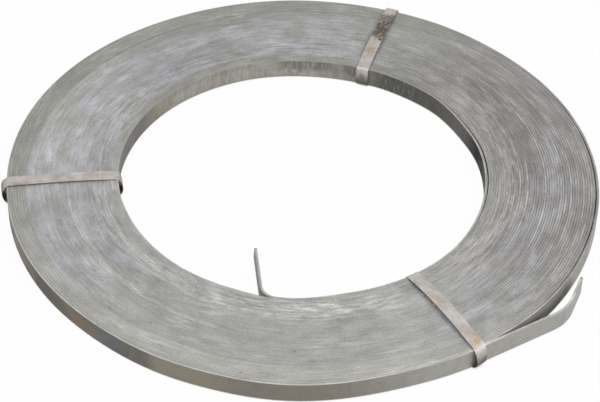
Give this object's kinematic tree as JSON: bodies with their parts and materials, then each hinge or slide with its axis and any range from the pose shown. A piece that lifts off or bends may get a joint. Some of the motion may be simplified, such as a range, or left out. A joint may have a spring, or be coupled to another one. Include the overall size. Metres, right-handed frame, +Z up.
{
  "type": "coil of flat steel strip",
  "caption": "Coil of galvanised flat steel strip, lying flat round an open bore, with its inner and outer ends sprung free and steel packing straps round its section.",
  "frame": {"origin": "on the floor, on the coil's axis", "axes": "+Z up along the coil's axis, -Y towards the front where both strip ends are, +X to the right"},
  "size_m": [0.7337, 0.7314, 0.0331],
  "materials": {
    "zinc_strip": "dull hot-dip zinc with white bloom",
    "strap_steel": "bare cold-rolled steel with spots of rust"
  },
  "bodies": {
    "root": {"strip_coil": "zinc_strip", "strap_left": "strap_steel", "strap_front": "strap_steel", "strap_back": "strap_steel"}
  },
  "joints": []
}
